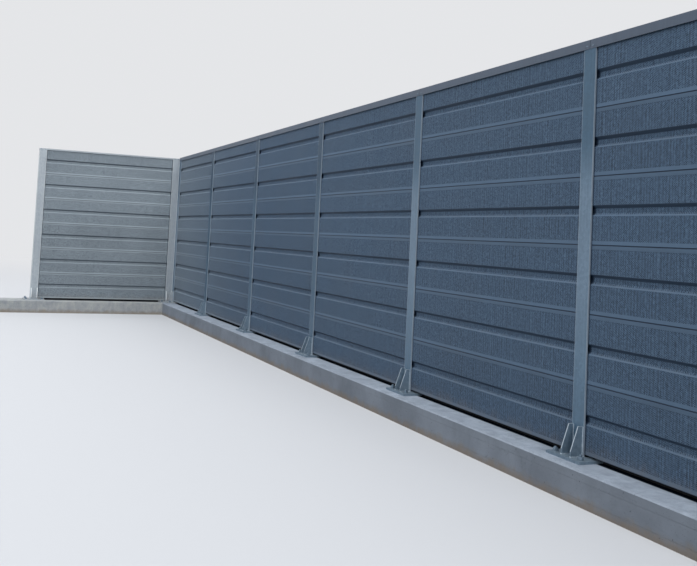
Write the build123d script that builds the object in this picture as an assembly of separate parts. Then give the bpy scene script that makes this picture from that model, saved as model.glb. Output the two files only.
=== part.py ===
from build123d import *
import os

# Metal noise barrier on a concrete curb: a long run of six bays and a return bay at its corner.
# Lengths in mm. +X runs along the long run, -Y is the side that faces the protected area,
# +Z is up. The origin is under the corner post, on the underside of the curb.

# Bays
bay_count = 6
bay_pitch = 2800.0
return_pitch = 2700.0

# Acoustic panel
course_count = 6
panel_height = 500.0
panel_thickness = 95.0
panel_edge_radius = 6.0
groove_height = 78.0
groove_slope_height = 22.0
groove_depth = 24.0
tongue_width = 36.0
tongue_height = 14.0
tongue_clearance = 1.0
rear_rib_height = 60.0
rear_rib_slope = 10.0
rear_rib_depth = 9.0
rear_rib_offset = 125.0
panel_end_clearance = 1.0

# Post, a rolled H section
post_depth = 140.0
post_width = 140.0
flange_thickness = 12.0
web_thickness = 7.0
root_radius = 12.0

# Foot: base plate with four gusset ribs
plate_size = 400.0
plate_thickness = 20.0
rib_thickness = 10.0
rib_height = 215.0
rib_reach = 100.0
rib_top_width = 40.0
rib_toe_height = 38.0
rib_inset = 15.0

# Seat bars that carry the lowest panels inside the channels
seat_thickness = 15.0
seat_length = 46.0
seat_width = 80.0

# Rubber seals between the backs of the panels and the rear flanges
seal_width = 30.0
seal_inset = 14.0

# Rubber strips that close the gap between the curb and the lowest panels
strip_thickness = 20.0
strip_inset = 8.0

# Cap: a folded channel turned upside down
cap_sheet = 3.0
cap_leg = 68.0
return_cap_leg = 30.0
cap_side_clearance = 0.3
cap_clearance_over_tongue = 1.0
cap_butt_gap = 4.0

# Curb
curb_height = 240.0
curb_width = 600.0
curb_end_length = 300.0
return_curb_end_length = 900.0
curb_edge_chamfer = 12.0

# Levels
curb_top = curb_height
plate_top = curb_top + plate_thickness
panel_base = plate_top + seat_thickness
panel_top = panel_base + course_count * panel_height
post_top = panel_top + tongue_height + cap_clearance_over_tongue
# The return bay's top panel has no tongue, so its posts end flush with it
return_post_top = panel_top

# Lines in plan. The first post of the return run stands diagonally beside the corner post.
corner_offset = (post_width + post_depth) / 2
return_x = -corner_offset
return_start_y = -corner_offset
front_channel_face = -(post_depth / 2 - flange_thickness)
panel_end_from_post = web_thickness / 2 + root_radius + panel_end_clearance

long_post_xs = [i * bay_pitch for i in range(bay_count + 1)]

# A run is modelled along +X with its front facing -Y, and then placed in plan.
# The return run starts at its end post and reaches the corner at return_pitch.
LONG_RUN = Location((0, 0, 0))
RETURN_RUN = Location((return_x, return_start_y - return_pitch, 0), (0, 0, 90))


def groove_points(face, inward, mid_height, height, slope, depth):
    """Corners of a trapezoid groove in a vertical face, from its bottom to its top."""
    low = mid_height - height / 2
    high = mid_height + height / 2
    floor = face + inward * depth
    return [(face, low), (floor, low + slope), (floor, high - slope), (face, high)]


def panel_profile(tongue):
    """Section of one panel across its thickness, its underside at height 0, with or without a tongue on top."""
    front = front_channel_face
    back = front + panel_thickness
    middle = (front + back) / 2
    groove_half = tongue_width / 2 + tongue_clearance
    tongue_half = tongue_width / 2
    right_side = (
        groove_points(back, -1, panel_height / 2 - rear_rib_offset, rear_rib_height, rear_rib_slope,
                      rear_rib_depth)
        + groove_points(back, -1, panel_height / 2 + rear_rib_offset, rear_rib_height, rear_rib_slope,
                        rear_rib_depth)
    )
    left_side = groove_points(front, 1, panel_height / 2, groove_height, groove_slope_height, groove_depth)
    tongue_points = [
        (middle + tongue_half, panel_height),
        (middle + tongue_half, panel_height + tongue_height),
        (middle - tongue_half, panel_height + tongue_height),
        (middle - tongue_half, panel_height),
    ]
    points = [
        (front, 0),
        (middle - groove_half, 0),
        (middle - groove_half, tongue_height + tongue_clearance),
        (middle + groove_half, tongue_height + tongue_clearance),
        (middle + groove_half, 0),
        (back, 0),
        *right_side,
        (back, panel_height),
        *(tongue_points if tongue else []),
        (front, panel_height),
        *reversed(left_side),
    ]
    face = make_face(Polyline(*points, close=True))
    corners = [
        v for v in face.vertices()
        if abs(v.X - front) < 0.01 or abs(v.X - back) < 0.01
        if abs(v.Y) < 0.01 or abs(v.Y - panel_height) < 0.01
    ]
    return fillet(corners, panel_edge_radius)


def panel(start_x, pitch, tongue=True):
    """One panel between the posts at start_x and start_x + pitch, its underside at height 0."""
    length = pitch - 2 * panel_end_from_post
    section = Plane.YZ * panel_profile(tongue)
    return Pos(start_x + panel_end_from_post, 0, 0) * extrude(section, amount=length, dir=(1, 0, 0))


def post(top):
    """H section from its base plate up to the height top, flanges facing -Y and +Y."""
    flange_offset = (post_depth - flange_thickness) / 2
    section = (
        Rectangle(web_thickness, post_depth)
        + Pos(0, flange_offset) * Rectangle(post_width, flange_thickness)
        + Pos(0, -flange_offset) * Rectangle(post_width, flange_thickness)
    )
    roots = [
        v for v in section.vertices()
        if abs(abs(v.X) - web_thickness / 2) < 0.01
        and abs(abs(v.Y) - (post_depth / 2 - flange_thickness)) < 0.01
    ]
    section = fillet(roots, root_radius)
    return Pos(0, 0, plate_top) * extrude(section, amount=top - plate_top)


def rib():
    """Gusset rib in the YZ plane, centred on x = 0, its heel on the front flange of the post."""
    heel = -post_depth / 2
    outline = Polyline(
        (heel, plate_top),
        (heel, plate_top + rib_height),
        (heel - rib_top_width, plate_top + rib_height),
        (heel - rib_reach, plate_top + rib_toe_height),
        (heel - rib_reach, plate_top),
        close=True,
    )
    section = Plane.YZ * make_face(outline)
    return extrude(section, amount=rib_thickness / 2, both=True)


rib_x = post_width / 2 - rib_inset
all_ribs = [(x, turn) for x in (-rib_x, rib_x) for turn in (0, 180)]


def plate():
    return Pos(0, 0, curb_top) * extrude(Rectangle(plate_size, plate_size), amount=plate_thickness)


def foot(ribs=all_ribs):
    """Base plate with ribs, each given by its place across the post and its turn about Z."""
    solid = plate()
    for x, turn in ribs:
        solid += Rot(0, 0, turn) * Pos(x, 0, 0) * rib()
    return solid


def seat(post_x, side):
    """Seat bar on the base plate inside one channel of a post: side is 1 or -1 along the run."""
    x = post_x + side * (panel_end_from_post + seat_length / 2)
    y = front_channel_face + panel_thickness / 2
    return Pos(x, y, plate_top + seat_thickness / 2) * Box(seat_length, seat_width, seat_thickness)


def seal(post_x, side):
    """Seal strip behind the ends of the panels in one channel of a post, over their whole height."""
    back = front_channel_face + panel_thickness
    thickness = -front_channel_face - back
    x = post_x + side * (post_width / 2 - seal_inset - seal_width / 2)
    return Pos(x, back + thickness / 2, (panel_base + panel_top) / 2) * Box(
        seal_width, thickness, panel_top - panel_base
    )


def strip(start_x, pitch):
    """Strip under the lowest panel of a bay, on the curb between the two base plates."""
    back = front_channel_face + panel_thickness - strip_inset
    x = start_x + pitch / 2
    return Pos(x, back - strip_thickness / 2, (curb_top + panel_base) / 2) * Box(
        pitch - plate_size, strip_thickness, panel_base - curb_top
    )


def cap(start_x, end_x, seat_height, leg, closed_start=False, closed_end=False):
    """Folded cap from start_x to end_x on posts that end at seat_height, with end plates where closed."""
    inner = post_depth / 2 + cap_side_clearance
    outer = inner + cap_sheet
    top = seat_height + cap_sheet
    length = end_x - start_x
    centre_x = (start_x + end_x) / 2
    solid = Pos(centre_x, 0, top - leg / 2) * Box(length, 2 * outer, leg)
    hollow_start = start_x + (cap_sheet if closed_start else 0)
    hollow_end = end_x - (cap_sheet if closed_end else 0)
    hollow = Pos((hollow_start + hollow_end) / 2, 0, top - cap_sheet - leg / 2) * Box(
        hollow_end - hollow_start, 2 * inner, leg
    )
    return solid - hollow


def curb(start_x, end_x):
    """Concrete strip from start_x to end_x with chamfered top edges."""
    half = curb_width / 2
    outline = Polyline(
        (-half, 0),
        (half, 0),
        (half, curb_height - curb_edge_chamfer),
        (half - curb_edge_chamfer, curb_height),
        (-half + curb_edge_chamfer, curb_height),
        (-half, curb_height - curb_edge_chamfer),
        close=True,
    )
    section = Plane.YZ * make_face(outline)
    return Pos(start_x, 0, 0) * extrude(section, amount=end_x - start_x, dir=(1, 0, 0))


def courses(run, starts, pitch, top_tongue):
    """For each course, the panels of all bays of one run."""
    rows = []
    for row in range(course_count):
        tongue = top_tongue or row < course_count - 1
        place = run * Pos(0, 0, panel_base + row * panel_height)
        rows.append([place * panel(x, pitch, tongue) for x in starts])
    return rows


def cap_lengths():
    """Caps of the long run, butted over the posts, and the cap of the return bay."""
    half_gap = cap_butt_gap / 2
    outer_end = post_width / 2 + cap_side_clearance + cap_sheet
    # The long run starts clear of the side leg of the return cap
    first_start = return_x + post_depth / 2 + 2 * cap_side_clearance + cap_sheet
    caps = {}
    for bay in range(bay_count):
        start = first_start if bay == 0 else long_post_xs[bay] + half_gap
        last = bay == bay_count - 1
        end = long_post_xs[bay + 1] + (outer_end if last else -half_gap)
        caps[f"cap_bay_{bay + 1}"] = [LONG_RUN * cap(start, end, post_top, cap_leg, closed_end=last)]
    return_end = return_pitch + post_width / 2
    caps["cap_return"] = [
        RETURN_RUN * cap(-outer_end, return_end, return_post_top, return_cap_leg, closed_start=True)
    ]
    return caps


def nodes():
    """Every node of the barrier: name to list of solids."""
    model = {}
    long_end = long_post_xs[-1] + curb_end_length
    long_start = return_x - curb_width / 2
    model["curb_long"] = [LONG_RUN * curb(long_start, long_end)]
    return_curb_end = return_pitch - return_start_y - curb_width / 2
    model["curb_return"] = [RETURN_RUN * curb(-return_curb_end_length, return_curb_end)]

    for index, x in enumerate(long_post_xs):
        model[f"post_long_{index}"] = [Pos(x, 0, 0) * post(post_top)]
        if index > 0:
            model[f"foot_long_{index}"] = [Pos(x, 0, 0) * foot()]
    model["post_return_0"] = [RETURN_RUN * Pos(return_pitch, 0, 0) * post(return_post_top)]
    model["post_return_1"] = [RETURN_RUN * post(return_post_top)]

    # The corner posts share one foot. The corner post has no rib where the return post's ribs pass.
    corner_ribs = [spec for spec in all_ribs if spec != (-rib_x, 0)]
    model["foot_corner"] = [foot(corner_ribs) + RETURN_RUN * Pos(return_pitch, 0, 0) * foot()]
    model["foot_return_1"] = [RETURN_RUN * foot()]

    model["seats_long"] = [seat(x, 1) for x in long_post_xs[:-1]] + [seat(x, -1) for x in long_post_xs[1:]]
    model["seats_return"] = [RETURN_RUN * seat(0, 1), RETURN_RUN * seat(return_pitch, -1)]
    model["seals_long"] = [seal(x, 1) for x in long_post_xs[:-1]] + [seal(x, -1) for x in long_post_xs[1:]]
    model["seals_return"] = [RETURN_RUN * seal(0, 1), RETURN_RUN * seal(return_pitch, -1)]

    model["strips_long"] = [strip(x, bay_pitch) for x in long_post_xs[:-1]]
    model["strip_return"] = [RETURN_RUN * strip(0, return_pitch)]

    for row, solids in enumerate(courses(LONG_RUN, long_post_xs[:-1], bay_pitch, top_tongue=True)):
        model[f"panels_long_course_{row + 1}"] = solids
    for row, solids in enumerate(courses(RETURN_RUN, [0], return_pitch, top_tongue=False)):
        model[f"panel_return_course_{row + 1}"] = solids

    model.update(cap_lengths())
    return model


os.makedirs("parts", exist_ok=True)
for name, solids in nodes().items():
    shape = solids[0] if len(solids) == 1 else Compound(children=solids)
    shape.label = name
    export_step(shape, f"parts/{name}.step")
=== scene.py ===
"""Looks of a metal noise barrier section: perforated panels, zinc-coated steel, a formed concrete curb."""

import inspect
import math

import bmesh
import bpy
from bpy.props import FloatProperty, FloatVectorProperty, IntProperty, PointerProperty
from mathutils import Matrix, Vector


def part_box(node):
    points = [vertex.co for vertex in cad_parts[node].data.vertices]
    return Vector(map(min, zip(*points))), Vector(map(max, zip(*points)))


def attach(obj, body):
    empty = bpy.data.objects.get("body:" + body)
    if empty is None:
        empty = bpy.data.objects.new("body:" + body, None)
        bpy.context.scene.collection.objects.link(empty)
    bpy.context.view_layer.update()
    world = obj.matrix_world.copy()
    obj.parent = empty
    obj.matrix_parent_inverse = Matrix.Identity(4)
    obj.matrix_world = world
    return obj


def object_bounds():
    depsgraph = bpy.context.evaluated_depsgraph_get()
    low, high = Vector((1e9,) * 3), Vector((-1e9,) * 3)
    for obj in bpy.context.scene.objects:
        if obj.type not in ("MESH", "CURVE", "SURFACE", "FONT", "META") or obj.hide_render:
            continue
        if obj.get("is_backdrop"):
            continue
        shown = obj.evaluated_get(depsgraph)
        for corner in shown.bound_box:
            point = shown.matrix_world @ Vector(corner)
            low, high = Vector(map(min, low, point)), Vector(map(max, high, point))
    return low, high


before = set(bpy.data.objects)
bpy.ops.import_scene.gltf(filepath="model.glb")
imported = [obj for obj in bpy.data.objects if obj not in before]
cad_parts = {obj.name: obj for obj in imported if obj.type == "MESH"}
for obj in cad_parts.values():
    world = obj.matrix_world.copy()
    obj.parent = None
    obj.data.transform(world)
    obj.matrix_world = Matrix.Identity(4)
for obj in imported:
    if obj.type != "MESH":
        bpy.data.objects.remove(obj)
CAD_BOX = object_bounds()

bl_info = {
    "name": "Noise barrier section",
    "version": (1, 0, 0),
    "blender": (4, 5, 0),
    "location": "View3D > Sidebar > Barrier",
    "description": "Finishes and fasteners of a metal noise barrier on a concrete curb",
    "category": "Object",
}

BODY = "root"
UP = Vector((0, 0, 1))

# Colours that belong to no finish, in linear light
PALE_WALL = (0.78, 0.79, 0.81)
FLOOR_BOUNCE = (0.115, 0.116, 0.118)
# Painted shade on the curb's top in the gap under the panels
GAP_DARK = (0.003, 0.006, 0.011)


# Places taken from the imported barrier


def nodes_named(start):
    """CAD objects whose names begin with these letters."""
    return [made for name, made in sorted(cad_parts.items()) if name.startswith(start)]


def post_places():
    """Centre of each post in plan and the direction of its run, long run first."""
    places = []
    for made in nodes_named("post_"):
        low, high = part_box(made.name)
        run = Vector((1, 0, 0)) if made.name.startswith("post_long") else Vector((0, 1, 0))
        places.append(((low + high) / 2, run))
    return places


POSTS = post_places()
FOOT_LOW, FOOT_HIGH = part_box("foot_long_1")
COURSE_LOW, COURSE_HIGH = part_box("panels_long_course_1")
RETURN_COURSE_LOW, RETURN_COURSE_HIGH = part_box("panel_return_course_1")
POST_LOW, POST_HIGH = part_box("post_long_1")
RETURN_END_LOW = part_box("post_return_1")[0]
CURB_LOW, CURB_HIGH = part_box("curb_long")

PANEL_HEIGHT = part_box("panels_long_course_2")[0].z - COURSE_LOW.z
BAY_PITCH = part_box("post_long_2")[0].x - POST_LOW.x
RETURN_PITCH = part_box("post_return_0")[0].y - RETURN_END_LOW.y
POST_WIDTH = POST_HIGH.x - POST_LOW.x
POST_DEPTH = POST_HIGH.y - POST_LOW.y
CURB_TOP = CURB_HIGH.z
PLATE_TOP = POST_LOW.z
RIB_HEIGHT = FOOT_HIGH.z - PLATE_TOP

# Axis of each run, distance between its posts and place of its first one
LONG_RUN = ("X", BAY_PITCH, 0.0)
RETURN_RUN = ("Y", RETURN_PITCH, RETURN_END_LOW.y + POST_WIDTH / 2)

# Sizes that the boxes of posts, feet and panels don't show
FLANGE = 0.012
HALF_WEB = 0.0035
RIB_INSET = 0.015
HALF_RIB = 0.005
RIB_REACH = 0.1
GROOVE_DEPTH = 0.03

# Heights between which the tone of the long run's posts changes, near their feet and at their tops
FOOT_ZONE = (0.35, 1.5)
TOP_ZONE = (2.1, 2.6)


# Sizes and colours that a user would change


def number(**options):
    """Maker of float properties that share some options."""
    return lambda name, text, value: FloatProperty(name=name, description=text, default=value, **options)


length = number(min=0.0, max=10.0, unit="LENGTH", precision=4)
share = number(min=0.0, max=1.0, subtype="FACTOR")
power = number(min=0.0)
angle = number(subtype="ANGLE")


def colour(name, text, *screen):
    """A colour property, given as screen values above 10 and up to 255."""
    linear = [((c / 255 + 0.055) / 1.055) ** 2.4 for c in screen]
    options = {"default": linear, "min": 0.0, "max": 1.0, "subtype": "COLOR"}
    return FloatVectorProperty(name=name, description=text, **options)


class BarrierPanelFinish(bpy.types.PropertyGroup):
    long_run: colour("Long run", "Coating of the long run's panels", 80, 102, 125)
    # The return bay's coating is lighter and greyer than the long run's, partly painted light and sheen of
    # panels that face the side lamp
    return_bay: colour("Return bay", "Coating of the return bay's panels", 149, 161, 169)
    # The hole colour is also the colour of the painted shade under the grooves' lips and beside the flanges
    hole: colour("Hole", "Dark lining seen through the holes", 12, 29, 50)
    hole_pitch: length("Hole pitch", "Distance between holes in a row", 0.012)
    hole_diameter: length("Hole diameter", "Width of one hole", 0.0088)
    hole_variety: share("Hole variety", "How much the depth of the holes differs", 0.6)
    strip_pitch: length("Strip pitch", "Distance between two strips left by the punch", 0.031)
    strip_contrast: share("Strip contrast", "How much the strips differ in tone", 0.55)
    plain_band: length("Plain band", "Strip without holes beside each joint", 0.031)
    roughness: share("Roughness", "Roughness of the coating", 0.5)
    chalking: share("Chalking", "How far the coating has weathered", 0.3)
    low_shade: share("Low shade", "Tone of the lowest panels against the highest", 0.78)
    corner_fade: share("Corner fade", "How faded the long run's panels are at the corner", 0.56)
    fade_reach: length("Fade reach", "How far from the corner the fading ends", 6.5)


class BarrierSteelFinish(bpy.types.PropertyGroup):
    bright: colour("Bright zinc", "Lightest zinc crystals", 118, 140, 160)
    dull: colour("Dull zinc", "Darkest zinc crystals", 91, 113, 133)
    # Painted highlight along the edges of the long run's flanges
    post_edge: colour("Post edge", "Edges of the long run's flanges", 152, 166, 179)
    low_tone: share("Low tone", "Tone of the long run's posts low down", 0.62)
    top_tone: share("Top tone", "Tone of the long run's posts at their tops", 0.56)
    dull_middle: share("Dull posts", "Tone of the long run's posts 1 to 3", 0.5)
    foot_bright: colour("Bright feet", "Lightest zinc crystals of the feet", 118, 138, 155)
    foot_dull: colour("Dull feet", "Darkest zinc crystals of the feet", 92, 114, 131)
    # Painted highlight on the tops of the long run's ribs; the weld beads take it as their lightest zinc
    edge: colour("Foot edge", "Painted highlight on the upward faces of the long run's ribs", 184, 196, 206)
    # Lighter copies of the zinc for the return bay: painted light on faces that look towards the side lamp,
    # and a painted highlight for edges
    new_bright: colour("Return bright zinc", "Lightest crystals on the return bay", 160, 168, 174)
    new_dull: colour("Return dull zinc", "Darkest crystals on the return bay", 134, 143, 151)
    new_edge: colour("Return edge highlight", "Edges of the return bay's ribs and flanges", 226, 232, 234)
    spangle: length("Spangle size", "Width of the zinc crystals", 0.022)
    metal: share("Metal", "How metallic the zinc still looks", 0.45)
    roughness: share("Roughness", "Roughness of the zinc", 0.46)
    bead_radius: length("Weld bead", "Radius of the weld beads", 0.0045)
    ripple_pitch: length("Weld ripple", "Distance between two ripples of a bead", 0.0045)


class BarrierCapFinish(bpy.types.PropertyGroup):
    sheet: colour("Cap", "Coating of the long run's caps", 71, 84, 101)
    dust: colour("Dust", "Dust that lies on flat tops", 138, 136, 128)
    roughness: share("Roughness", "Roughness of the coating", 0.48)


class BarrierConcreteFinish(bpy.types.PropertyGroup):
    light: colour("Light", "Trowelled and dry concrete", 178, 190, 204)
    # The return curb's lighter copy of the concrete is painted light from the side lamp
    return_light: colour("Return light", "Concrete of the return curb, made lighter as painted light", 186, 188, 184)
    dark: colour("Dark", "Damp and porous concrete", 117, 126, 138)
    soil: colour("Soil", "Soil splashed on the lower edge", 122, 106, 84)
    # Painted shade on the curbs' sides, which look away from the overhead lamp
    side_damp: share("Damp side", "How damp and dark the long curb's sides are", 1.0)
    return_side_damp: share("Damp return side", "How damp and dark the return curb's sides are", 0.1)
    pore_spacing: length("Pore spacing", "Distance between the larger pores", 0.055)
    splash_reach: length("Splash height", "Height that splashed soil reaches", 0.09)


class BarrierFastenerSizes(bpy.types.PropertyGroup):
    rod: length("Anchor rod", "Diameter of the anchor rods", 0.024)
    rod_height: length("Rod above plate", "Length of rod above the plate", 0.036)
    thread_pitch: length("Thread pitch", "Distance between two thread crests", 0.003)
    edge_distance: length("Edge distance", "From the plate's edge to the rod's centre", 0.05)
    clearance: length("Clearance", "Least distance between a rod and the other corner post", 0.12)
    screw: length("Cap screw", "Diameter of a cap screw's washer", 0.016)
    screw_offset: length("Screw offset", "From the post's centre to a cap screw", 0.036)
    seed: IntProperty(name="Seed", description="Start of the random turns", default=7, min=0)


class BarrierStage(bpy.types.PropertyGroup):
    floor: colour("Floor", "Colour of the floor as seen", 206, 208, 211)
    lens: number(unit="CAMERA")("Lens", "Focal length in millimetres", 48.42)
    shift: number()("Shift", "Upward shift of the frame", -0.1426)
    eye: FloatVectorProperty(
        name="Eye", description="Place of the camera", default=(19.690, -4.291, 1.725), subtype="TRANSLATION"
    )
    heading: angle("Heading", "Direction of view from +X", math.radians(157.662))
    tilt: angle("Tilt", "Upward tilt of the view", math.radians(3.453))
    roll: angle("Roll", "Turn about the direction of view", math.radians(2.775))
    sky_power: power("Sky box", "Watts of the overhead lamp", 700.0)
    front_light: power("Front light", "Strength from the curb's inner side", 1.25)
    side_light: power("Side light", "Strength from the open end", 1.6)
    back_light: power("Back light", "Strength from the outer side", 0.8)


class BarrierSettings(bpy.types.PropertyGroup):
    panels: PointerProperty(type=BarrierPanelFinish)
    steel: PointerProperty(type=BarrierSteelFinish)
    cap: PointerProperty(type=BarrierCapFinish)
    concrete: PointerProperty(type=BarrierConcreteFinish)
    fasteners: PointerProperty(type=BarrierFastenerSizes)
    stage: PointerProperty(type=BarrierStage)


def settings():
    return bpy.context.scene.barrier


def title(name):
    """Label of a group or an input from its name in the script."""
    return name.replace("_", " ").capitalize()


# Node building


class Wire:
    """Output socket of a node. Its sums and products are made by nodes of the same tree."""

    def __init__(self, socket):
        self.socket = socket
        self.tree = socket.id_data

    def __add__(self, other):
        return operate("ADD", self, other)

    def __sub__(self, other):
        return operate("SUBTRACT", self, other)

    def __rsub__(self, other):
        return operate("SUBTRACT", other, self)

    def __mul__(self, other):
        return operate("MULTIPLY", self, other)

    def __truediv__(self, other):
        return operate("DIVIDE", self, other)

    def __rtruediv__(self, other):
        return operate("DIVIDE", other, self)


def feed(socket, value):
    """Join a wire to a socket, or set the socket to a plain value."""
    if isinstance(value, Wire):
        value.tree.links.new(value.socket, socket)
    elif socket.type == "RGBA":
        socket.default_value = (*value[:3], 1.0)
    else:
        socket.default_value = value


def add(tree, kind, inputs=None, **options):
    """New node with its options, and its inputs fed by name or number."""
    made = tree.nodes.new(kind)
    for name, value in options.items():
        setattr(made, name, value)
    for key, value in (inputs or {}).items():
        feed(made.inputs[key], value)
    return made


def outputs(made):
    """Outputs of a node as wires by name."""
    return {socket.name: Wire(socket) for socket in made.outputs}


def tree_of(inputs):
    """Node tree of the wires among some inputs."""
    return next(value.tree for value in inputs.values() if isinstance(value, Wire))


def wire(kind, inputs, output=0, **options):
    """One output of a new node, which stands in the same tree as its inputs."""
    return Wire(add(tree_of(inputs), kind, inputs, **options).outputs[output])


def operate(operation, *values):
    """Result of a Math node, or of a Vector Math node where a value is a vector or a colour."""
    kinds = {value.socket.type for value in values if isinstance(value, Wire)}
    vectors = bool(kinds & {"VECTOR", "RGBA"})
    kind = "ShaderNodeVectorMath" if vectors else "ShaderNodeMath"
    output = "Vector" if vectors and operation != "LENGTH" else "Value"
    return wire(kind, dict(enumerate(values)), output, operation=operation)


def clamped(result):
    """The same sum or product, kept from 0 to 1."""
    result.socket.node.use_clamp = True
    return result


def stack(x, y=0.0, z=0.0):
    """Vector of three values."""
    return wire("ShaderNodeCombineXYZ", {0: x, 1: y, 2: z})


def split(vector):
    """X, Y and Z of a vector."""
    return outputs(add(vector.tree, "ShaderNodeSeparateXYZ", {0: vector}))


def remap(value, low, high, to_low=0.0, to_high=1.0, smooth=False):
    """Value moved from one range to another and kept inside it."""
    return wire(
        "ShaderNodeMapRange",
        {"Value": value, "From Min": low, "From Max": high, "To Min": to_low, "To Max": to_high},
        interpolation_type="SMOOTHSTEP" if smooth else "LINEAR",
    )


def span(value, to_low, to_high):
    """Value from 0 to 1 moved to another range."""
    return remap(value, 0.0, 1.0, to_low, to_high)


def noise(point, scale, detail=3.0, roughness=0.5, distortion=0.0):
    """Value of a noise texture."""
    look = {"Scale": scale, "Detail": detail, "Roughness": roughness, "Distortion": distortion}
    return wire("ShaderNodeTexNoise", {"Vector": point, **look})


def cell_edges(point, scale):
    """Distance to the nearest edge between the cells of a Voronoi texture."""
    inputs = {"Vector": point, "Scale": scale}
    return wire("ShaderNodeTexVoronoi", inputs, "Distance", feature="DISTANCE_TO_EDGE")


def blend(factor, first, second, how="MIX"):
    """Mix of two colours."""
    inputs = {"Factor": factor, 6: first, 7: second}
    return wire("ShaderNodeMix", inputs, 2, data_type="RGBA", blend_type=how)


def lay(tone, mask, amount, over):
    """A colour with another laid over it by some amount, where the mask is 1."""
    return blend(mask * amount, tone, over)


def shaded(tone, red, green, blue):
    """A colour with its channels multiplied."""
    return blend(1.0, tone, wire("ShaderNodeCombineColor", {0: red, 1: green, 2: blue}), "MULTIPLY")


def times(tone, factor):
    """A plain colour made lighter or darker."""
    return [channel * factor for channel in tone]


def make_group(build):
    """Shader node group from a function that gives its outputs by name. An input of None is a vector."""
    tree = bpy.data.node_groups.new(title(build.__name__), "ShaderNodeTree")
    inputs = {name: given.default for name, given in inspect.signature(build).parameters.items()}
    for name, value in inputs.items():
        kind = "NodeSocketVector" if value is None else "NodeSocketFloat"
        made = tree.interface.new_socket(name=title(name), in_out="INPUT", socket_type=kind)
        if value is not None:
            made.default_value = value
    start = outputs(tree.nodes.new("NodeGroupInput"))
    results = build(**{name: start[title(name)] for name in inputs})
    for name in results:
        tree.interface.new_socket(name=name, in_out="OUTPUT", socket_type="NodeSocketFloat")
    end = tree.nodes.new("NodeGroupOutput").inputs
    for name, value in results.items():
        feed(end[name], value)


def use(build, **inputs):
    """Outputs of the shader group that was made from a function."""
    named = {title(name): value for name, value in inputs.items()}
    group = bpy.data.node_groups[title(build.__name__)]
    return outputs(add(tree_of(inputs), "ShaderNodeGroup", named, node_tree=group))


# Shader groups shared by the finishes


def perforation(along=0.0, height=0.0, pitch=0.012, diameter=0.006):
    """Staggered round holes, 1 inside a hole and 0 outside, and a random value for each hole."""
    column_ratio = math.sqrt(3)
    point = stack(along / (pitch * column_ratio), height / pitch)
    distances, randoms = [], []
    for offset in (0.0, 0.5):
        moved = point + (offset, offset, 0.0)
        cell = operate("FLOOR", moved) + (0.0, 0.0, offset)
        randoms.append(wire("ShaderNodeTexWhiteNoise", {"Vector": cell}, "Value"))
        centred = operate("FRACTION", moved) - (0.5, 0.5, 0.0)
        distances.append(operate("LENGTH", centred * (column_ratio, 1.0, 0.0)))
    nearest = operate("MINIMUM", *distances) * pitch
    radius = diameter * 0.5
    hole = remap(nearest, radius * 0.85, radius * 1.1, 1.0, 0.0)
    return {"Hole": hole, "Random": span(operate("LESS_THAN", *distances), randoms[1], randoms[0])}


def punch_strips(along=0.0, height=0.0, pitch=0.031):
    """Upright strips of light and dark tone left by the punch, from -1 to 1."""
    across = along / pitch
    spot = stack(across, height)
    turn = (across + noise(spot, 0.35, 2.0, 0.6) * 2.5) * (2 * math.pi)
    patchy = remap(noise(spot, 0.5, 2.0, 0.6), 0.35, 0.65, 0.3, 1.0)
    # Short pieces of a strip are lighter or darker, as rows of holes differ in depth
    rows = stack(across, height / 0.028)
    broken = remap(noise(rows, 1.0, 1.0, 0.6), 0.3, 0.7, -0.9, 0.9)
    return {"Strip": (operate("SINE", turn) + broken) * patchy * 0.6}


def panel_courses(along=0.0, height=0.0, bay_pitch=BAY_PITCH, plain_band=0.037):
    """Place in a stack of panels: a tone for each panel, where it has holes, and its joints and groove."""
    level = (height - COURSE_LOW.z) / PANEL_HEIGHT
    bay = operate("FLOOR", along / bay_pitch)
    panel = stack(bay, operate("FLOOR", level), 3.0)
    part = operate("FRACT", level)
    # 0 at a joint and half a panel's height at its middle
    to_joint = operate("MINIMUM", part, 1.0 - part) * PANEL_HEIGHT
    field = remap(to_joint, plain_band - 0.0015, plain_band)
    # The groove's slopes have no holes, and the upper one gets a band of painted shade
    rise = (part - 0.5) * PANEL_HEIGHT
    lip = remap(rise, 0.015, 0.019) * remap(rise, 0.038, 0.041, 1.0, 0.0)
    sill = remap(rise, -0.042, -0.04) * remap(rise, -0.032, -0.028, 1.0, 0.0)
    return {
        "Tone": wire("ShaderNodeTexWhiteNoise", {"Vector": panel}, "Value"),
        "Field": field * clamped(1.0 - lip - sill),
        "Joint": remap(to_joint, 0.002, 0.0065, 1.0, 0.0, smooth=True),
        "Lip": lip,
        "Upper Edge": remap(part, 0.92, 0.93),
    }


def weathering(point=None, blotch=0.4, run_width=0.03, run_length=0.9):
    """Broad blotches and narrow upright runs left by rain."""
    blotches = noise(point, 1.0 / blotch, 5.0, 0.6, 0.3)
    across = 1.0 / run_width
    stretch = stack(across, across, 1.0 / run_length)
    runs = noise(point * stretch, 1.0, 4.0, 0.65, 0.1)
    return {"Blotches": remap(blotches, 0.32, 0.68), "Runs": remap(runs, 0.36, 0.7)}


def zinc_spangle(point=None, size=0.02):
    """Zinc crystals: a tone for each and the fine lines between them."""
    drift = wire("ShaderNodeTexNoise", {"Vector": point, "Scale": 90.0}, "Color")
    bent, scale = point + drift * (0.008, 0.008, 0.008), 1.0 / size
    tint = wire("ShaderNodeTexVoronoi", {"Vector": bent, "Scale": scale}, "Color")
    crystal = wire("ShaderNodeSeparateColor", {0: tint}, "Red")
    return {"Crystal": crystal, "Edge": remap(cell_edges(bent, scale), 0.0, 0.06, 1.0, 0.0)}


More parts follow.
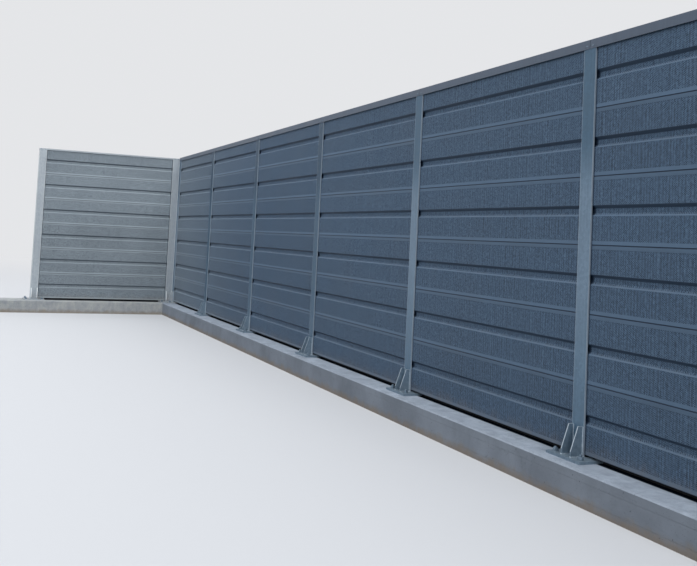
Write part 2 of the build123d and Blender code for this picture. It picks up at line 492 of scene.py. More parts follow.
def settled_dust(point=None, normal=None, foot=0.0, reach=0.1):
    """Dust on faces that look up and splashes low down."""
    broken = noise(point, 9.0, 6.0, 0.7)
    top = remap(split(normal)["Z"], 0.35, 0.95) * remap(broken, 0.3, 0.62)
    rise = (split(point)["Z"] - foot) / reach
    ragged = rise + (broken - 0.5) * 1.6
    return {"Top": top, "Splash": remap(ragged, 0.0, 1.0, 1.0, 0.0, smooth=True)}


def flange_edges(along=0.0, point=None, pitch=BAY_PITCH):
    """Painted highlights along both edges of each post's flanges, and painted shade on the panel beside
    them.
    """
    turns = along / pitch
    from_post = operate("ABSOLUTE", turns - operate("ROUND", turns)) * pitch
    edge = POST_WIDTH / 2 - from_post
    ragged = edge + noise(point, 30.0, 4.0, 0.7) * 0.003
    # Painted highlight along the flange's edges
    wear = remap(ragged, 0.002, 0.0065, 1.0, 0.0, smooth=True)
    # The panel just off each flange gets painted shade
    return {"Wear": wear, "Beside": remap(edge, -0.015, -0.008)}


GROUPS = (perforation, punch_strips, panel_courses, weathering, zinc_spangle, settled_dust, flange_edges)


# Finishes


def new_material(name):
    """Material, its Principled shader's inputs and the object coordinates."""
    material = bpy.data.materials.new(name)
    material.use_nodes = True
    tree = material.node_tree
    point = outputs(tree.nodes.new("ShaderNodeTexCoord"))["Object"]
    return material, tree.nodes["Principled BSDF"].inputs, point


def facing(point):
    """Direction that the surface faces."""
    return outputs(point.tree.nodes.new("ShaderNodeNewGeometry"))["Normal"]


def bump(height, depth, normal=None, strength=1.0):
    """Normal of a Bump node; depth is in metres."""
    below = {} if normal is None else {"Normal": normal}
    return wire("ShaderNodeBump", {"Height": height, "Distance": depth, "Strength": strength, **below})


def weather(point, blotch, run_width, run_length):
    """Blotches of some size, and runs of some width and length."""
    made = use(weathering, point=point, blotch=blotch, run_width=run_width, run_length=run_length)
    return made["Blotches"], made["Runs"]


def dust_and_splash(point, foot, reach):
    """Dust on top, and splashes that reach some way up from a foot."""
    made = use(settled_dust, point=point, normal=facing(point), foot=foot, reach=reach)
    return made["Top"], made["Splash"]


def inside(value, low, high, soft=0.012):
    """1 between two limits and 0 beyond them, with soft edges inside."""
    away = operate("ABSOLUTE", value - (low + high) / 2)
    half = (high - low) / 2
    return remap(away, half - soft, half, 1.0, 0.0)


def panel_material(name, base, run, front, contrast, fade=0.0):
    """Coated perforated sheet. front is the axis, the limit and the sign of the side with holes."""
    finish = settings().panels
    axis, pitch, start = run
    across_axis, limit, sign = front
    material, shader, point = new_material(name)
    parts = split(point)
    along, height = parts[axis] - start, parts["Z"]
    place = {"along": along, "height": height}
    course = use(panel_courses, **place, bay_pitch=pitch, plain_band=finish.plain_band)
    holes = use(perforation, **place, pitch=finish.hole_pitch, diameter=finish.hole_diameter)
    strip = use(punch_strips, **place, pitch=finish.strip_pitch)["Strip"]
    beside = use(flange_edges, along=along, point=point, pitch=pitch)["Beside"]
    blotches, runs = weather(point, 0.7, 0.028, 1.3)
    top, splash = dust_and_splash(point, CURB_TOP, 0.16)
    on_front = remap(parts[across_axis] * sign, limit - 0.001, limit + 0.001)
    field = course["Field"] * on_front
    hole = holes["Hole"] * field

    tone = span(course["Tone"], 0.93, 1.06) * (strip * contrast * field + 1.0)
    tone = tone * span(course["Upper Edge"], 1.0, 0.79)
    # The panels grow darker towards the foot of the wall
    tone = tone * remap(height, CURB_TOP, 2.5, finish.low_shade, 1.0)
    coat = shaded(base, tone, tone, tone)
    coat = lay(coat, blotches, finish.chalking, [c * 1.28 + 0.01 for c in base])
    coat = lay(coat, runs, 0.12, times(base, 0.62))
    coat = lay(coat, top, 0.15, settings().cap.dust)
    coat = lay(coat, splash, 0.25, settings().concrete.soil)
    if fade:
        # Towards the corner the long run's coating takes on the return bay's lighter tone
        nearness = operate("POWER", remap(along, 0.0, finish.fade_reach, 1.0, 0.0), 1.6)
        coat = lay(coat, nearness, fade, finish.return_bay)
    coat = lay(coat, course["Joint"], 0.85, finish.hole)
    # Painted shade under the upper lip of each groove, on the front only
    coat = lay(coat, course["Lip"] * on_front, 0.65, finish.hole)
    # Painted shade on the panel next to each flange
    coat = lay(coat, beside, 0.85, finish.hole)
    depth = span(holes["Random"], 1.0 - finish.hole_variety, 1.0)
    feed(shader["Base Color"], lay(coat, hole, depth, finish.hole))
    feed(shader["Specular IOR Level"], 0.22)
    rough = span(blotches, finish.roughness - 0.07, finish.roughness + 0.1)
    feed(shader["Roughness"], clamped(rough + hole * 0.4))
    waves = bump(noise(point, 1.6, 1.0), 0.004, strength=0.35)
    grain = bump(noise(point, 420.0, 2.0), 0.0002, waves, 0.5)
    feed(shader["Normal"], bump(1.0 - hole, 0.0012, grain))
    return material


def post_shade(along, height):
    """Tone of the long run's posts: less low down and at their tops, and less on posts 1 to 3."""
    finish = settings().steel
    first, last = BAY_PITCH * 0.5, BAY_PITCH * 3.5
    middle = remap(along, first - 0.5, first) * remap(along, last, last + 0.5, 1.0, 0.0)
    low = remap(height, *FOOT_ZONE, finish.low_tone, 1.0)
    top = remap(height, *TOP_ZONE, 1.0, finish.top_tone, smooth=True)
    return span(middle, low, finish.dull_middle) * top


def steel_material(name, tones, run=None, ribs=False, uneven=False):
    """Zinc in a bright, a dull and a highlight tone; the highlight is painted on a run's flange edges and on
    rib tops.

    Uneven posts get the long run's shade.
    """
    finish = settings().steel
    bright, dull, rim = tones
    material, shader, point = new_material(name)
    parts = split(point)
    spangle = use(zinc_spangle, point=point, size=finish.spangle)
    blotches, runs = weather(point, 0.35, 0.018, 0.8)
    top, splash = dust_and_splash(point, CURB_TOP, 0.2)
    tone = blend(span(spangle["Crystal"], 0.15, 0.85), dull, bright)
    tone = lay(tone, blotches, 0.45, times(dull, 0.85))
    tone = lay(tone, runs, 0.3, times(bright, 1.2))
    tone = lay(tone, spangle["Edge"], 0.12, times(dull, 0.6))
    rough = span(spangle["Crystal"], finish.roughness - 0.07, finish.roughness + 0.09)
    if uneven:
        shade = post_shade(parts["X"], parts["Z"])
        # Where the posts are darker they are also bluer
        tone = shaded(tone, operate("POWER", shade, 1.45), shade, operate("POWER", shade, 0.8))
    if run:
        axis, pitch, start = run
        wear = use(flange_edges, along=parts[axis] - start, point=point, pitch=pitch)["Wear"]
        # Painted highlight along the edges of the flanges
        tone = lay(tone, wear, 0.9, rim)
        rough = clamped(rough - wear * 0.1)
    if ribs:
        # Painted highlight on the upward faces of the ribs above the plate
        upward = remap(split(facing(point))["Z"], 0.2, 0.35)
        tone = lay(tone, upward * remap(parts["Z"], PLATE_TOP + 0.02, PLATE_TOP + 0.03), 0.9, rim)
    tone = lay(tone, top, 0.12, settings().cap.dust)
    tone = lay(tone, splash, 0.08, settings().concrete.soil)
    feed(shader["Base Color"], tone)
    feed(shader["Metallic"], span(blotches, finish.metal + 0.1, finish.metal - 0.15) * (1.0 - top))
    feed(shader["Roughness"], rough)
    coarse = bump(noise(point, 55.0, 4.0, 0.6), 0.0006, strength=0.5)
    feed(shader["Normal"], bump(spangle["Edge"], 0.0001, coarse, 0.35))
    return material


def cap_material():
    """Coated folded sheet, dusty on top."""
    finish = settings().cap
    base = finish.sheet
    material, shader, point = new_material("cap_sheet")
    blotches, runs = weather(point, 0.5, 0.02, 0.3)
    top = dust_and_splash(point, 0.0, 0.1)[0]
    tone = blend(blotches * 0.4, base, times(base, 1.3))
    tone = lay(tone, runs, 0.3, times(base, 0.6))
    feed(shader["Base Color"], lay(tone, top, 0.75, finish.dust))
    rough = span(blotches, finish.roughness - 0.06, finish.roughness + 0.08)
    feed(shader["Roughness"], clamped(rough + top * 0.3))
    waves = bump(noise(point, 3.0, 1.0), 0.003, strength=0.3)
    feed(shader["Normal"], bump(noise(point, 350.0, 2.0), 0.0002, waves, 0.5))
    return material


def air_pores(point, spacing, width, kept):
    """Round pits in some of the cells of a Voronoi texture."""
    cells = outputs(add(point.tree, "ShaderNodeTexVoronoi", {"Vector": point, "Scale": 1.0 / spacing}))
    chosen = wire("ShaderNodeSeparateColor", {0: cells["Color"]}, "Green")
    return remap(cells["Distance"], width * 0.6, width, 1.0, 0.0) * operate("GREATER_THAN", chosen, kept)


def concrete_material(name, light, side_damp):
    """Formed concrete: pores and lift lines on its sides, trowel marks on its top, soil at its foot."""
    finish = settings().concrete
    dark = finish.dark
    material, shader, point = new_material(name)
    parts = split(point)
    upward = remap(split(facing(point))["Z"], 0.3, 0.9)
    blotches, runs = weather(point, 0.6, 0.05, 0.35)
    splash = dust_and_splash(point, CURB_LOW.z, finish.splash_reach)[1]
    grains = noise(point, 260.0, 4.0, 0.7)
    cloud = noise(point, 7.0, 6.0, 0.65, 0.4)
    large = air_pores(point, finish.pore_spacing, 0.11, 0.55)
    small = air_pores(point, finish.pore_spacing * 0.32, 0.14, 0.5)
    pores = operate("MAXIMUM", large, small) * (1.0 - upward * 0.75)
    # Hair cracks, seldom and thin
    crack = remap(cell_edges(point + stack(cloud, cloud, cloud), 0.8), 0.0, 0.0016, 1.0, 0.0)
    # Lines where the form boards met
    board = operate("FRACT", (parts["Z"] + 0.01) / 0.12)
    line = remap(operate("ABSOLUTE", board - 0.5), 0.0, 0.012, 1.0, 0.0) * (1.0 - upward)
    # Painted shade on the top in the narrow gap under the panels of both runs, with no specular
    gaps = [
        inside(parts["X"], low.x, high.x) * inside(parts["Y"], low.y, high.y)
        for low, high in ((COURSE_LOW, COURSE_HIGH), (RETURN_COURSE_LOW, RETURN_COURSE_HIGH))
    ]
    damp = operate("MAXIMUM", *gaps) * upward

    tone = blend(remap(cloud, 0.3, 0.7, 0.1, 0.8), light, dark)
    # Painted shade on the faces that don't look up
    tone = lay(tone, 1.0 - upward, side_damp, times(dark, 0.7))
    tone = lay(tone, runs, 0.35 - upward * 0.3, times(dark, 0.8))
    tone = blend(remap(grains, 0.35, 0.7, 0.0, 0.3), tone, times(dark, 0.8))
    tone = lay(tone, blotches, 0.25, times(light, 0.85))
    tone = lay(tone, line, 0.35, times(dark, 0.6))
    tone = lay(tone, pores, 0.8, times(dark, 0.35))
    tone = lay(tone, crack, 0.45, times(dark, 0.4))
    tone = lay(tone, splash, 0.6, finish.soil)
    # Painted shade in the gap under the panels
    feed(shader["Base Color"], blend(damp, tone, GAP_DARK))
    feed(shader["Roughness"], remap(cloud, 0.3, 0.7, 0.95, 0.8))
    feed(shader["Specular IOR Level"], span(damp, 0.3, 0.0))
    trowel = noise(point * (2.0, 14.0, 14.0), 3.0, 4.0, 0.6, 0.6)
    shape = bump(trowel * 1.4 + cloud * 1.2, 0.003, strength=0.6)
    shape = bump(grains, 0.0009, shape, 0.7)
    hollows = operate("MAXIMUM", pores, operate("MAXIMUM", crack, line))
    feed(shader["Normal"], bump(1.0 - hollows, 0.002, shape, 0.9))
    return material


def rubber_material():
    """Black rubber of the pads and seals, greyed by dust."""
    material, shader, point = new_material("pad_rubber")
    blotches, runs = weather(point, 0.08, 0.01, 0.2)
    # The rubber in the gap under the lowest panels is a real part, and its black also stands in for the
    # shade in that gap
    black, grey = (0.006, 0.007, 0.009), (0.03, 0.032, 0.036)
    feed(shader["Base Color"], blend(blotches * 0.5, black, grey))
    feed(shader["Specular IOR Level"], 0.15)
    feed(shader["Roughness"], span(runs, 0.7, 0.9))
    feed(shader["Normal"], bump(noise(point, 300.0, 3.0), 0.0004))
    return material


def fastener_material():
    """Zinc of the rods and nuts, with rust starting in the threads."""
    material, shader, point = new_material("fastener_zinc")
    blotches = weather(point, 0.03, 0.004, 0.02)[0]
    tone = blend(blotches, (0.19, 0.25, 0.31), (0.11, 0.16, 0.21))
    rust = remap(noise(point, 60.0, 6.0, 0.75), 0.56, 0.68)
    feed(shader["Base Color"], lay(tone, rust, 0.12, (0.13, 0.055, 0.025)))
    feed(shader["Metallic"], 0.8 - rust * 0.7)
    feed(shader["Roughness"], span(blotches, 0.35, 0.55))
    feed(shader["Normal"], bump(noise(point, 500.0, 3.0), 0.0002))
    return material


def dress(material, *starts):
    """Give a finish to all slots of the CAD nodes whose names begin with these letters."""
    for made in nodes_named(starts):
        if not made.material_slots:
            made.data.materials.append(material)
        for slot in made.material_slots:
            slot.material = material


# Meshes and geometry trees


def mesh_of(name, shape):
    """Plain mesh from a bmesh, which is freed."""
    mesh = bpy.data.meshes.new(name)
    shape.to_mesh(mesh)
    shape.free()
    return mesh


def show(name, data):
    """New object in the scene."""
    made = bpy.data.objects.new(name, data)
    bpy.context.scene.collection.objects.link(made)
    return made


def lathe(rings, segments):
    """Closed solid of revolution about Z from (radius, height) rings, lowest first."""
    shape = bmesh.new()
    turns = [2 * math.pi * i / segments for i in range(segments)]
    loops = [
        [shape.verts.new((radius * math.cos(t), radius * math.sin(t), height)) for t in turns]
        for radius, height in rings
    ]
    for low, high in zip(loops, loops[1:]):
        for i in range(segments):
            j = (i + 1) % segments
            shape.faces.new((low[i], low[j], high[j], high[i]))
    shape.faces.new(list(reversed(loops[0])))
    shape.faces.new(loops[-1])
    return mesh_of("turned", shape)


def template(name, *parts):
    """One object from several meshes, each moved up by its own height."""
    shape = bmesh.new()
    for mesh, rise in parts:
        mesh.transform(Matrix.Translation(UP * rise))
        shape.from_mesh(mesh)
        bpy.data.meshes.remove(mesh)
    return show(name, mesh_of(name, shape))


def nut_template(sizes):
    """Washer with a hexagon nut, its chamfers and its seat, standing on Z = 0."""
    rod = sizes.rod
    radius, thick = rod * 0.95, rod * 0.17
    washer = [(radius * 0.97, 0), (radius, thick * 0.2), (radius, thick * 0.8), (radius * 0.96, thick)]
    corner, height = rod * 1.5 / math.sqrt(3), rod * 0.85
    sides = [(corner * 0.9, 0), (corner, height * 0.1), (corner, height * 0.88), (corner * 0.88, height)]
    seat = [(rod * 0.56, height), (rod * 0.53, height * 0.93)]
    return template("nut_and_washer", (lathe(washer, 28), 0), (lathe(sides + seat, 6), thick))


def rod_template(sizes):
    """Threaded rod with a chamfered end; it starts inside the plate."""
    crest, pitch = sizes.rod / 2, sizes.thread_pitch
    root = crest * 0.88
    height = sizes.rod * 0.9
    rings = [(root, -0.01), (root, height)]
    while height < sizes.rod_height - pitch:
        rings += [(crest, height + pitch * 0.5), (root, height + pitch)]
        height += pitch
    rings.append((crest * 0.72, sizes.rod_height))
    return template("threaded_rod", (lathe(rings, 20), 0))


def screw_template(sizes):
    """Self-drilling screw's hexagon head on its bonded washer."""
    radius = sizes.screw / 2
    washer = [(radius, -0.001), (radius, radius * 0.12), (radius * 0.85, radius * 0.22)]
    head = [(radius * 0.56, 0), (radius * 0.56, radius * 0.5), (radius * 0.46, radius * 0.62)]
    return template("cap_screw", (lathe(washer, 20), 0), (lathe(head, 6), radius * 0.2))


def geometry_tree(name, inputs):
    """Geometry tree with a Geometry input and output and other named inputs, given as wires."""
    tree = bpy.data.node_groups.new(name, "GeometryNodeTree")
    for label, kind in {"Geometry": "Geometry", **inputs}.items():
        tree.interface.new_socket(name=label, in_out="INPUT", socket_type=f"NodeSocket{kind}")
    tree.interface.new_socket(name="Geometry", in_out="OUTPUT", socket_type="NodeSocketGeometry")
    return tree, outputs(tree.nodes.new("NodeGroupInput"))


def end_tree(tree, geometry, finish):
    """Make instances real, give them their finish and hand them to the tree's output."""
    real = wire("GeometryNodeRealizeInstances", {0: geometry})
    done = wire("GeometryNodeSetMaterial", {"Geometry": real, "Material": finish})
    feed(tree.nodes.new("NodeGroupOutput").inputs[0], done)
    return tree


def random_value(low, high, **inputs):
    """Random value between two limits."""
    return wire("FunctionNodeRandomValue", {2: low, 3: high, **inputs}, 1, data_type="FLOAT")


def fastener_tree():
    """Stands a fastener on each point along its facing, turned at random, and slides its shank a little."""
    tree, given = geometry_tree(
        "Fasteners",
        {"Head": "Object", "Shank": "Object", "Shank Slide": "Float", "Seed": "Int", "Finish": "Material"},
    )
    attribute = {"Name": "facing"}
    direction = add(tree, "GeometryNodeInputNamedAttribute", attribute, data_type="FLOAT_VECTOR").outputs[0]
    upright = wire("FunctionNodeAlignRotationToVector", {"Vector": Wire(direction)}, axis="Z")
    limits = {0: (-0.02, -0.02, 0.0), 1: (0.02, 0.02, 2 * math.pi)}
    turn = wire("FunctionNodeRandomValue", {**limits, "Seed": given["Seed"]}, data_type="FLOAT_VECTOR")
    turned = {"Rotation": upright, "Rotate By": turn}
    rotation = wire("FunctionNodeRotateRotation", turned, rotation_space="LOCAL")
    lift = stack(0.0, 0.0, random_value(-1.0, 1.0, Seed=given["Seed"]) * given["Shank Slide"])
    joined = tree.nodes.new("GeometryNodeJoinGeometry")
    for piece in ("Head", "Shank"):
        source = wire("GeometryNodeObjectInfo", {"Object": given[piece], "As Instance": True}, "Geometry")
        stand = {"Points": given["Geometry"], "Instance": source, "Rotation": rotation}
        placed = wire("GeometryNodeInstanceOnPoints", stand)
        if piece == "Shank":
            move = {"Instances": placed, "Translation": lift, "Local Space": True}
            placed = wire("GeometryNodeTranslateInstances", move)
        feed(joined.inputs[0], placed)
    return end_tree(tree, Wire(joined.outputs[0]), given["Finish"])


def bead_tree():
    """Runs a rippled weld bead along each line of a mesh."""
    sizes = {"Radius": "Float", "Ripple Pitch": "Float", "Ripple Depth": "Float"}
    tree, given = geometry_tree("Weld beads", {**sizes, "Seed": "Int", "Finish": "Material"})
    lines = wire("GeometryNodeMeshToCurve", {"Mesh": given["Geometry"]})
    steps = {"Curve": lines, "Length": given["Ripple Pitch"] / 2.0}
    curve = wire("GeometryNodeResampleCurve", steps, mode="LENGTH")
    circle = {"Resolution": 6, "Radius": given["Radius"]}
    profile = wire("GeometryNodeCurvePrimitiveCircle", circle, mode="RADIUS")
    index = Wire(tree.nodes.new("GeometryNodeInputIndex").outputs[0])
    wander = random_value(-0.5, 0.5, ID=index, Seed=given["Seed"])
    swell = (operate("MODULO", index, 2.0) + wander) * given["Ripple Depth"] + 0.9
    sweep = {"Curve": curve, "Profile Curve": profile, "Scale": swell, "Fill Caps": True}
    bead = wire("GeometryNodeCurveToMesh", sweep)
    return end_tree(tree, wire("GeometryNodeSetShadeSmooth", {"Geometry": bead}), given["Finish"])


def point_mesh(name, spots):
    """Mesh of loose points, each with the direction that its fastener faces."""
    mesh = bpy.data.meshes.new(name)
    mesh.from_pydata([place for place, _ in spots], [], [])
    values = mesh.attributes.new("facing", "FLOAT_VECTOR", "POINT")
    values.data.foreach_set("vector", [c for _, way in spots for c in way])
    return mesh


def line_mesh(name, lines):
    """Mesh of open or closed lines."""
    points, edges = [], []
    for line, closed in lines:
        first = len(points)
        points += line
        edges += [(first + i, first + i + 1) for i in range(len(line) - 1)]
        if closed:
            edges.append((first + len(line) - 1, first))
    mesh = bpy.data.meshes.new(name)
    mesh.from_pydata(points, edges, [])
    return mesh


def grow(name, mesh, tree, inputs):
    """Run a geometry tree on a mesh and keep the result as a plain mesh piece on the barrier."""
    piece = show(name, mesh)
    modifier = piece.modifiers.new(name, "NODES")
    modifier.node_group = tree
    for socket in tree.interface.items_tree:
        if socket.in_out == "INPUT" and socket.name in inputs:
            modifier[socket.identifier] = inputs[socket.name]
    depsgraph = bpy.context.evaluated_depsgraph_get()
    result = bpy.data.meshes.new_from_object(piece.evaluated_get(depsgraph), depsgraph=depsgraph)
    piece.modifiers.remove(modifier)
    piece.data = result
    result.name = name
    if not result.polygons:
        raise RuntimeError(f"{name} came out empty")
    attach(piece, BODY)


# Places of the fasteners and welds


def anchor_spots(sizes):
    """Corners of each foot's plate, without those of one corner post that crowd the other."""
    reach = (FOOT_HIGH.x - FOOT_LOW.x) / 2 - sizes.edge_distance
    corner_posts = [next(centre.xy for centre, run in POSTS if run[axis]) for axis in (0, 1)]
    spots = []
    for centre, _ in POSTS:
        others = [post for post in corner_posts if centre.xy in corner_posts and post != centre.xy]
        for side_x in (-1, 1):
            for side_y in (-1, 1):
                spot = Vector((centre.x + side_x * reach, centre.y + side_y * reach, PLATE_TOP))
                if all((spot.xy - other).length >= sizes.clearance for other in others):
                    spots.append((spot, UP))
    return spots


def screw_spots(sizes):
    """Two screws through each leg of the caps at every post."""
    spots = []
    for centre, run in POSTS:
        low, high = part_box("cap_bay_2" if run.x else "cap_return")
        across = Vector((run.y, run.x, 0))
        half = (high - low).dot(across) / 2
        height = low.z + min(0.02, (high.z - low.z) / 2)
        for side in (-1, 1):
            for along in (-sizes.screw_offset, sizes.screw_offset):
                place = centre + run * along + across * side * half
                spots.append((Vector((place.x, place.y, height)), across * side))
    return spots


def weld_lines():
    """Lines of the beads: down, round and up every rib, and round the foot of every post."""
    # A bead's centre lies just off the seam
    lift = 0.0012
    half_depth, half_width = POST_DEPTH / 2, POST_WIDTH / 2
    inner, rib_offset = half_depth - FLANGE, half_width - RIB_INSET
    flange = [(-half_width, -half_depth), (half_width, -half_depth), (half_width, -inner)]
    half_section = [*flange, (HALF_WEB, -inner), (HALF_WEB, inner), (half_width, inner)]
    section = half_section + [(-along, -out) for along, out in half_section]
    top = RIB_HEIGHT - 0.004
    lines = []
    for index, (centre, run) in enumerate(POSTS):
        across = Vector((-run.y, run.x, 0))
        base = Vector((centre.x, centre.y, PLATE_TOP + lift))

        def spot(along, out, rise=0.0):
            return base + run * along + across * out + UP * rise

        for side in (-1, 1):
            heel, toe = side * (half_depth + lift), side * (half_depth + RIB_REACH + lift)
            for rib in (-rib_offset, rib_offset):
                # The corner post has no rib where the return bay's post stands
                if index == 0 and side < 0 and rib < 0:
                    continue
                first, second = rib - HALF_RIB - lift, rib + HALF_RIB + lift
                down = [spot(first, heel, top), spot(first, heel), spot(first, toe)]
                up = [spot(second, toe), spot(second, heel), spot(second, heel, top)]
                lines.append((down + up, False))
        lines.append(([spot(along, out) for along, out in section], True))
    return lines


# Stage


def seen_by_eye(tree):
    """1 for camera, glossy and transmission rays."""
    path = outputs(tree.nodes.new("ShaderNodeLightPath"))
    seen = operate("MAXIMUM", path["Is Camera Ray"], path["Is Glossy Ray"])
    return operate("MAXIMUM", seen, path["Is Transmission Ray"])


def add_floor(middle, seen):
    """Plain floor, pale to the eye and duller as a reflector of light."""
    side = 400.0
    mesh = bpy.data.meshes.new("floor")
    corners = [(-side, -side), (side, -side), (side, side), (-side, side)]
    mesh.from_pydata([(middle.x + x, middle.y + y, CAD_BOX[0].z) for x, y in corners], [], [(0, 1, 2, 3)])
    material, shader, point = new_material("floor_plain")
    nodes = point.tree.nodes
    eye = seen_by_eye(point.tree)
    feed(shader["Base Color"], blend(eye, FLOOR_BOUNCE, seen))
    feed(shader["Roughness"], 0.9)
    # Far from the barrier the floor fades into the wall
    away = operate("LENGTH", (point - tuple(middle)) * (1.0, 1.0, 0.0))
    fade = remap(away, 11.0, 40.0, smooth=True) * eye
    plain = Wire(nodes["Principled BSDF"].outputs[0])
    glow = Wire(add(point.tree, "ShaderNodeEmission", {"Color": PALE_WALL}).outputs[0])
    feed(nodes["Material Output"].inputs[0], wire("ShaderNodeMixShader", {0: fade, 1: plain, 2: glow}))
    mesh.materials.append(material)
    show("floor", mesh)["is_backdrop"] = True


def set_world():
    """Light that grows from the horizon to the zenith; the eye sees an even pale wall."""
    world = bpy.data.worlds.new("surroundings")
    bpy.context.scene.world = world
    world.use_nodes = True
    tree = world.node_tree
    height = split(outputs(tree.nodes.new("ShaderNodeTexCoord"))["Generated"])["Z"]
    sky = blend(remap(height, -0.05, 0.8), (0.34, 0.35, 0.37), (0.6, 0.62, 0.66))
    feed(tree.nodes["Background"].inputs["Color"], blend(seen_by_eye(tree), sky, PALE_WALL))


def add_sky_box(place, width, depth, watts):
    """Wide lamp overhead that looks straight down."""
    lamp = bpy.data.lights.new("sky_box", "AREA")
    lamp.shape = "RECTANGLE"
    lamp.size, lamp.size_y, lamp.energy = width, depth, watts
    show("sky_box", lamp).location = place


def add_soft_light(name, direction, spread, strength):
    """Even soft light from far away, spread over some degrees."""
    lamp = bpy.data.lights.new(name, "SUN")
    lamp.energy, lamp.angle = strength, math.radians(spread)
    show(name, lamp).rotation_euler = Vector(direction).to_track_quat("-Z", "Y").to_euler()


def add_camera(stage):
    """Camera at the place that was fitted to the view."""
    data = bpy.data.cameras.new("camera")
    data.sensor_width, data.lens, data.shift_y = 36.0, stage.lens, stage.shift
    data.clip_end = 1000.0
    camera = show("camera", data)
    turn = (
        Matrix.Rotation(stage.heading - math.pi / 2, 4, "Z")
        @ Matrix.Rotation(math.pi / 2 + stage.tilt, 4, "X")
        @ Matrix.Rotation(stage.roll, 4, "Z")
    )
    camera.matrix_world = Matrix.Translation(stage.eye) @ turn
    bpy.context.scene.camera = camera


# Operators


class BARRIER_OT_panels(bpy.types.Operator):
    """Coated perforated sheet on the panels of both runs"""

    bl_idname = "barrier.panels"
    bl_label = "Finish the panels"

    def execute(self, context):
        finish = settings().panels
        contrast, fade = finish.strip_contrast, finish.corner_fade
        front = ("Y", -COURSE_LOW.y - GROOVE_DEPTH, -1.0)
        sheet = panel_material("panel_sheet_long", finish.long_run, LONG_RUN, front, contrast, fade)
        dress(sheet, "panels_long_")
        # The strips hardly show on the return bay
        front = ("X", RETURN_COURSE_HIGH.x - GROOVE_DEPTH, 1.0)
        sheet = panel_material("panel_sheet_return", finish.return_bay, RETURN_RUN, front, contrast * 0.3)
        dress(sheet, "panel_return_")
        return {"FINISHED"}


class BARRIER_OT_steel(bpy.types.Operator):
    """Zinc-coated posts and feet, coated caps, and rubber pads and seals"""

    bl_idname = "barrier.steel"
    bl_label = "Finish posts, feet, caps and pads"

    def execute(self, context):
        finish = settings().steel
        old = (finish.bright, finish.dull, finish.post_edge)
        feet = (finish.foot_bright, finish.foot_dull, finish.edge)
        # new holds the return bay's lighter zinc, painted light for faces towards the side lamp
        new = (finish.new_bright, finish.new_dull, finish.new_edge)
        dress(steel_material("post_zinc_long", old, LONG_RUN, uneven=True), "post_long_")
        dress(steel_material("post_zinc_return", new, RETURN_RUN), "post_return_")
        dress(steel_material("return_cap_zinc", new), "cap_return")
        dress(steel_material("foot_zinc", feet, ribs=True), "foot_long_")
        dress(steel_material("return_foot_zinc", new, ribs=True), "foot_corner", "foot_return")
        dress(cap_material(), "cap_bay_")
        dress(rubber_material(), "seat", "seal", "strip")
        return {"FINISHED"}


class BARRIER_OT_curb(bpy.types.Operator):
    """Formed concrete on the curb"""

    bl_idname = "barrier.curb"
    bl_label = "Finish the curb"

    def execute(self, context):
        finish = settings().concrete
        dress(concrete_material("curb_concrete", finish.light, finish.side_damp), "curb_long")
        # The return curb's lighter tone and weaker side shade are painted light from the side lamp
        light, damp = finish.return_light, finish.return_side_damp
        dress(concrete_material("return_curb_concrete", light, damp), "curb_return")
        return {"FINISHED"}


class BARRIER_OT_fasteners(bpy.types.Operator):
    """Anchor rods with nuts and washers on the feet, and screws in the caps"""

    bl_idname = "barrier.fasteners"
    bl_label = "Add anchors and cap screws"

    def execute(self, context):
        sizes = settings().fasteners
        tree, zinc = fastener_tree(), fastener_material()
        nut, rod, screw = nut_template(sizes), rod_template(sizes), screw_template(sizes)
        anchors = {"Head": nut, "Shank": rod, "Shank Slide": 0.005, "Seed": sizes.seed, "Finish": zinc}
        screws = {"Head": screw, "Shank Slide": 0.0, "Seed": sizes.seed + 1, "Finish": zinc}
        grow("anchor_rods", point_mesh("anchor_points", anchor_spots(sizes)), tree, anchors)
        grow("cap_screws", point_mesh("screw_points", screw_spots(sizes)), tree, screws)
        for made in (nut, rod, screw):
            bpy.data.objects.remove(made)
        return {"FINISHED"}


class BARRIER_OT_welds(bpy.types.Operator):
    """Weld beads along the ribs and round the feet of the posts"""

    bl_idname = "barrier.welds"
    bl_label = "Add weld beads"

    def execute(self, context):
        finish = settings().steel
        sizes = {"Radius": finish.bead_radius, "Ripple Pitch": finish.ripple_pitch, "Ripple Depth": 0.22}
        zinc = steel_material("weld_zinc", (finish.edge, finish.foot_bright, finish.edge))
        lines = line_mesh("weld_lines", weld_lines())
        grow("weld_beads", lines, bead_tree(), {**sizes, "Seed": 3, "Finish": zinc})
        return {"FINISHED"}


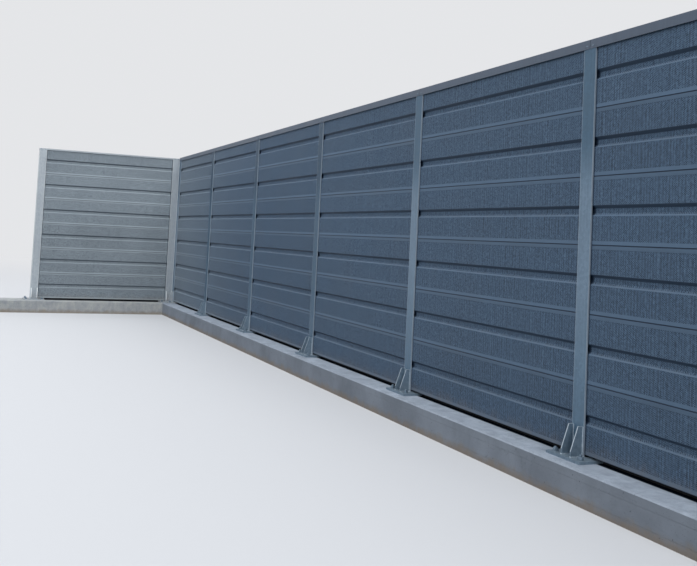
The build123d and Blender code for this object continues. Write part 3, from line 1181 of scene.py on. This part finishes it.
class BARRIER_OT_stage(bpy.types.Operator):
    """Floor, lamps, pale surroundings and the camera"""

    bl_idname = "barrier.stage"
    bl_label = "Set the stage"

    def execute(self, context):
        stage = settings().stage
        middle = (CAD_BOX[0] + CAD_BOX[1]) / 2
        add_floor(middle, stage.floor)
        set_world()
        add_sky_box((middle.x, -1.5, 11.0), 26.0, 12.0, stage.sky_power)
        add_soft_light("front_light", (-0.15, 0.85, -0.5), 60, stage.front_light)
        add_soft_light("side_light", (-0.9, 0.12, -0.42), 40, stage.side_light)
        add_soft_light("back_light", (0.3, -0.85, -0.45), 60, stage.back_light)
        add_camera(stage)
        context.scene.view_settings.view_transform = "Standard"
        return {"FINISHED"}


class BARRIER_PT_sidebar(bpy.types.Panel):
    """Sizes and colours of the barrier and the steps that build its looks"""

    bl_idname = "BARRIER_PT_sidebar"
    bl_label = "Noise barrier"
    bl_space_type = "VIEW_3D"
    bl_region_type = "UI"
    bl_category = "Barrier"

    def draw(self, context):
        layout = self.layout
        for step in STEPS:
            layout.operator(step.bl_idname)
        for part in BarrierSettings.__annotations__:
            box = layout.box()
            box.label(text=title(part))
            group = getattr(context.scene.barrier, part)
            for name in group.__annotations__:
                box.prop(group, name)


STEPS = (
    BARRIER_OT_panels,
    BARRIER_OT_steel,
    BARRIER_OT_curb,
    BARRIER_OT_fasteners,
    BARRIER_OT_welds,
    BARRIER_OT_stage,
)
CLASSES = (
    BarrierPanelFinish,
    BarrierSteelFinish,
    BarrierCapFinish,
    BarrierConcreteFinish,
    BarrierFastenerSizes,
    BarrierStage,
    BarrierSettings,
    *STEPS,
    BARRIER_PT_sidebar,
)


def register():
    for item in CLASSES:
        bpy.utils.register_class(item)
    bpy.types.Scene.barrier = PointerProperty(type=BarrierSettings)


def unregister():
    del bpy.types.Scene.barrier
    for item in reversed(CLASSES):
        bpy.utils.unregister_class(item)


def main():
    register()
    for build in GROUPS:
        make_group(build)
    bpy.ops.barrier.panels()
    bpy.ops.barrier.steel()
    bpy.ops.barrier.curb()
    bpy.ops.barrier.fasteners()
    bpy.ops.barrier.welds()
    bpy.ops.barrier.stage()
    sizes = {
        "cad": [list(corner) for corner in CAD_BOX],
        "visual": [list(corner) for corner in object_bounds()],
    }


if __name__ == "__main__":
    main()
